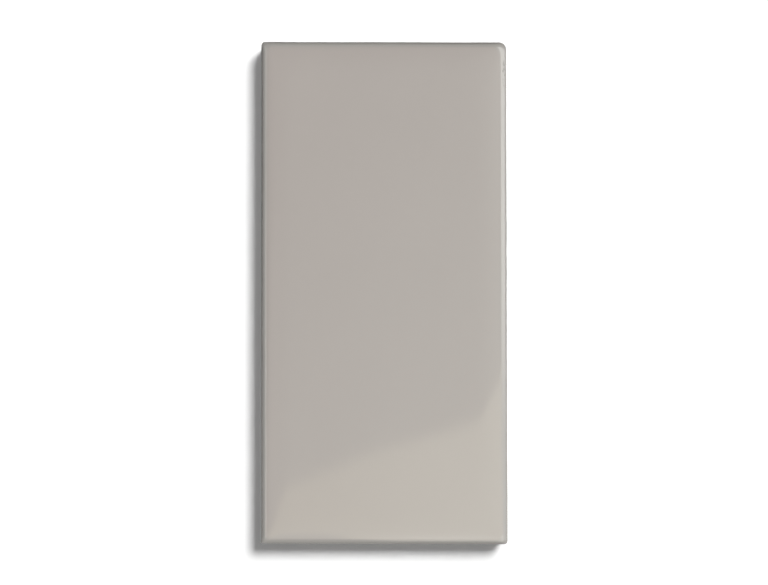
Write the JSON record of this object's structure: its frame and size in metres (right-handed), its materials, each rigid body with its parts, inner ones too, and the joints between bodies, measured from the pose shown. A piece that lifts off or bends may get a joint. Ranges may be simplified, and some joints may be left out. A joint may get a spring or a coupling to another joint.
{
  "type": "wall tile",
  "caption": "Narrow glazed ceramic wall tile with a flat glossy face, softly rolled edges, rounded corners, slightly narrowing sides and a keyed back for adhesive.",
  "frame": {"origin": "under the middle of the back, on the plane that the tile rests on or is bedded from", "axes": "+Z out of the glazed face, +Y along the length towards the head, +X across the width towards the right-hand edge"},
  "size_m": [0.065, 0.132, 0.0085],
  "materials": {
    "glaze": "gloss"
  },
  "bodies": {
    "root": {"wall_tile": "glaze"}
  },
  "joints": []
}
